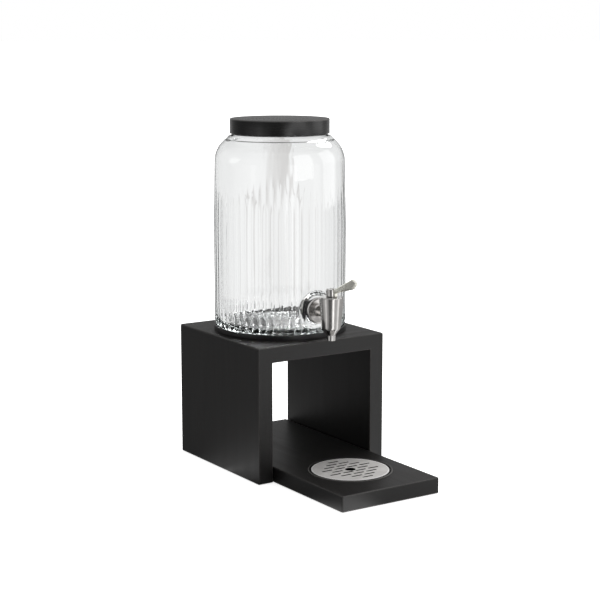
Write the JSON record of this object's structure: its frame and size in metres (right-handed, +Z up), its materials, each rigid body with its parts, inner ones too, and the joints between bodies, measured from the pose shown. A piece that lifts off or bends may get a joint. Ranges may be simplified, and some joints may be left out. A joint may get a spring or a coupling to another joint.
{
  "type": "gravity drink dispenser",
  "caption": "Ribbed glass drink jar with a black lid and a steel lever tap, on a black wooden stand with a sliding drip board, dish and round steel grate.",
  "frame": {"origin": "middle of the whole object's footprint, at the height of the table it stands on", "axes": "+Z up; -Y towards the user, the way the tap and the drip board face; +X to the user's right"},
  "size_m": [0.22, 0.401, 0.52],
  "materials": {
    "black_wood": "matt black stain and lacquer over fine straight grain",
    "dowel_wood": "plain beech",
    "foot_rubber": "matt",
    "dish_plastic": "fine satin",
    "grate_steel": "brushed, straight grain",
    "ring_plastic": "semi-gloss black",
    "screw_steel": "zinc plated",
    "mat_rubber": "matt",
    "jar_glass": "clear, smooth, faint green in thick places",
    "lid_plastic": "satin black",
    "clear_silicone": "translucent",
    "tap_steel": "satin polished",
    "washer_steel": "plain",
    "seal_rubber": "matt",
    "spring_steel": "drawn wire",
    "lever_steel": "polished"
  },
  "bodies": {
    "stand": {"left_side_board": "black_wood", "right_side_board": "black_wood", "top_board": "black_wood", "corner_dowels": "dowel_wood", "stand_feet": "foot_rubber", "seat_ring": "ring_plastic", "ring_screws": "screw_steel", "jar_mat": "mat_rubber"},
    "drip_board": {"drip_board": "black_wood", "drip_board_feet": "foot_rubber"},
    "drip_dish": {"drip_dish": "dish_plastic"},
    "drip_grate": {"drip_grate": "grate_steel"},
    "jar": {"jar": "jar_glass", "tap_body": "tap_steel", "tap_rose": "tap_steel", "outer_seal": "seal_rubber", "inner_seal": "seal_rubber", "steel_washer": "washer_steel", "clamp_nut": "washer_steel", "tap_bonnet": "tap_steel", "bonnet_o_ring": "seal_rubber", "return_spring": "spring_steel"},
    "lid": {"lid": "lid_plastic", "lid_seal": "clear_silicone"},
    "valve": {"valve_stem": "tap_steel", "stem_o_rings": "seal_rubber", "valve_washer": "clear_silicone", "lever_pin": "washer_steel"},
    "lever": {"lever": "lever_steel"}
  },
  "joints": [
    {"name": "jar_lift", "type": "slide", "parent": "stand", "child": "jar", "axis": [0, 0, 1], "range_m": [0, 0.1]},
    {"name": "lid_lift", "type": "slide", "parent": "jar", "child": "lid", "axis": [0, 0, 1], "range_m": [0, 0.06]},
    {"name": "stem_lift", "type": "slide", "parent": "jar", "child": "valve", "axis": [0, 0, 1], "range_m": [0, 0.0039], "stiffness_N_per_m": 1500, "springref_m": -0.004, "deforming": ["return_spring"]},
    {"name": "lever_tilt", "type": "hinge", "parent": "valve", "child": "lever", "pos_m": [0, -0.0505, 0.278], "axis": [1, 0, 0], "range_deg": [0, 22]},
    {"name": "drip_board_slide", "type": "slide", "parent": "stand", "child": "drip_board", "axis": [0, -1, 0], "range_m": [-0.172, 0.24]},
    {"name": "dish_lift", "type": "slide", "parent": "drip_board", "child": "drip_dish", "axis": [0, 0, 1], "range_m": [0, 0.04]},
    {"name": "grate_lift", "type": "slide", "parent": "drip_dish", "child": "drip_grate", "axis": [0, 0, 1], "range_m": [0, 0.04]}
  ],
  "couplings": [
    {"joint": "lever_tilt", "follows": "stem_lift", "rad_per_m": 98.4}
  ]
}
